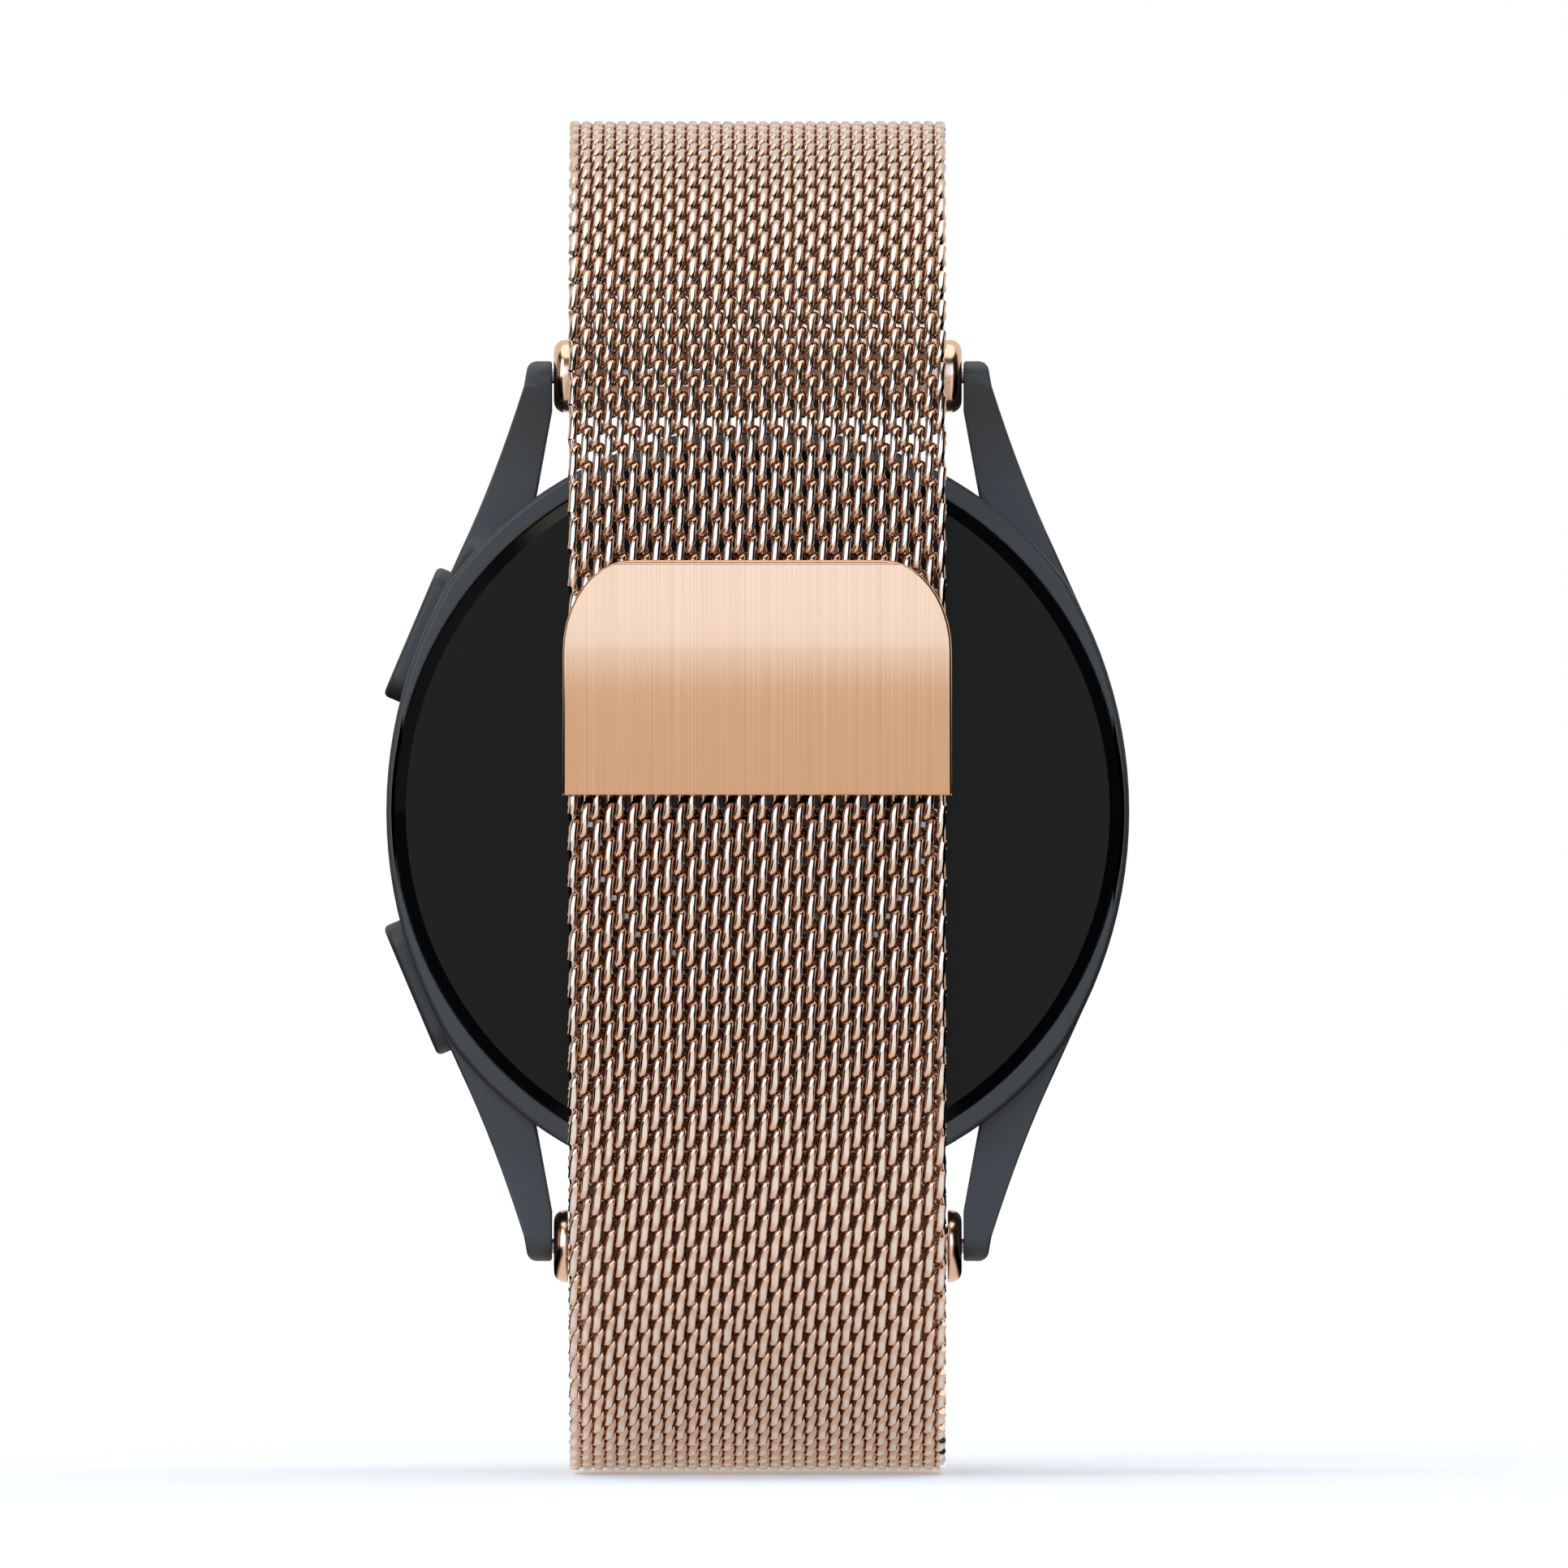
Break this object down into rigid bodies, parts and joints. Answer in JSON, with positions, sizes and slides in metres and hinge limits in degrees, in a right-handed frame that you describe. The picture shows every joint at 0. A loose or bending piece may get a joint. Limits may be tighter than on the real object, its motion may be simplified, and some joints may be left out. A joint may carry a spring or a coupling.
{
  "type": "smartwatch",
  "caption": "Round smartwatch on a closed rose-gold woven mesh strap, with side buttons, a rear sensor window, spring bars and a magnetic clasp that lifts.",
  "frame": {"origin": "middle of the wrist opening, on the dial axis, halfway from the sensor window to the front of the strap", "axes": "+Z towards 12 o'clock, +Y out through the display, +X towards 9 o'clock, along the wrist"},
  "size_m": [0.04, 0.0568, 0.0715],
  "materials": {
    "case_metal": "satin graphite anodised",
    "button_metal": "satin graphite anodised",
    "front_glass": "polished",
    "display": "dark display",
    "rear_glass": "glossy black",
    "sensor_glass": "glossy black",
    "electrode_steel": "dark coated steel",
    "mesh_rose_gold": "rose-gold woven wire",
    "clasp_rose_gold": "rose gold, fine brushing along the strap",
    "barrel_rose_gold": "polished rose gold",
    "bar_steel": "plain steel",
    "screw_steel": "plain steel",
    "shield_steel": "tinned steel",
    "magnet_nickel": "nickel plated",
    "coil_copper": "enamelled copper",
    "cell_pouch": "foil pouch",
    "circuit_board": "solder mask",
    "chip_resin": "moulded resin",
    "flex_circuit": "polyimide",
    "inner_plastic": "moulded",
    "led_resin": "clear resin",
    "diode_silicon": "silicon",
    "ferrite": "ferrite sheet",
    "black_seal": "moulded"
  },
  "bodies": {
    "watch": {"case": "case_metal", "cover_glass": "front_glass", "glass_seal": "black_seal", "display_panel": "display", "display_flex": "flex_circuit", "carrier": "inner_plastic", "battery": "cell_pouch", "main_board": "circuit_board", "board_shield": "shield_steel", "board_chips": "chip_resin", "board_screws": "screw_steel", "vibration_motor": "shield_steel", "speaker": "inner_plastic", "speaker_mesh": "screw_steel", "microphone": "shield_steel", "button_switches": "flex_circuit", "button_seals": "black_seal", "rear_cover": "rear_glass", "rear_gasket": "black_seal", "sensor_window": "sensor_glass", "sensor_board": "circuit_board", "sensor_leds": "led_resin", "photodiodes": "diode_silicon", "light_baffle": "inner_plastic", "charging_coil": "coil_copper", "coil_shield": "ferrite", "electrodes": "electrode_steel", "band_inner": "mesh_rose_gold", "lower_bar_tube": "bar_steel", "lower_bar_spring": "bar_steel"},
    "upper_button": {"upper_button": "button_metal", "upper_button_clip": "screw_steel"},
    "lower_button": {"lower_button": "button_metal", "lower_button_clip": "screw_steel"},
    "strap_flap": {"band_flap": "mesh_rose_gold", "clasp_cover": "clasp_rose_gold", "clasp_base": "clasp_rose_gold", "clasp_magnets": "magnet_nickel", "clasp_clamp": "clasp_rose_gold"},
    "upper_bar": {"upper_barrel": "barrel_rose_gold", "upper_bar_tube": "bar_steel", "upper_fixed_tip": "bar_steel", "upper_bar_spring": "bar_steel"},
    "release_lever": {"upper_release_lever": "bar_steel"},
    "lower_roller": {"lower_roller": "barrel_rose_gold"},
    "lower_tip_left": {"lower_tip_left": "bar_steel"},
    "lower_tip_right": {"lower_tip_right": "bar_steel"}
  },
  "joints": [
    {"name": "upper_button_press", "type": "slide", "parent": "watch", "child": "upper_button", "axis": [0.9205, 0, -0.3907], "range_m": [0, 0.00035], "stiffness_N_per_m": 2000, "springref_m": -0.0003},
    {"name": "lower_button_press", "type": "slide", "parent": "watch", "child": "lower_button", "axis": [0.9205, 0, 0.3907], "range_m": [0, 0.00035], "stiffness_N_per_m": 2000, "springref_m": -0.0003},
    {"name": "clasp_lift", "type": "hinge", "parent": "watch", "child": "strap_flap", "pos_m": [0, 0.02405, -0.02325], "axis": [1, 0, 0], "range_deg": [0, 30]},
    {"name": "upper_bar_turn", "type": "hinge", "parent": "watch", "child": "upper_bar", "pos_m": [0, 0.02405, 0.02325], "axis": [1, 0, 0], "range_deg": [-15, 15]},
    {"name": "quick_release", "type": "slide", "parent": "upper_bar", "child": "release_lever", "axis": [1, 0, 0], "range_m": [0, 0.0009], "stiffness_N_per_m": 1000, "springref_m": -0.0006, "deforming": ["upper_bar_spring"]},
    {"name": "lower_roller_turn", "type": "hinge", "parent": "watch", "child": "lower_roller", "pos_m": [0, 0.02405, -0.02325], "axis": [1, 0, 0], "continuous": true},
    {"name": "lower_tip_left_press", "type": "slide", "parent": "watch", "child": "lower_tip_left", "axis": [1, 0, 0], "range_m": [0, 0.0009], "stiffness_N_per_m": 1000, "springref_m": -0.0006, "deforming": ["lower_bar_spring"]},
    {"name": "lower_tip_right_press", "type": "slide", "parent": "watch", "child": "lower_tip_right", "axis": [-1, 0, 0], "range_m": [0, 0.0009], "stiffness_N_per_m": 1000, "springref_m": -0.0006, "deforming": ["lower_bar_spring"]}
  ]
}
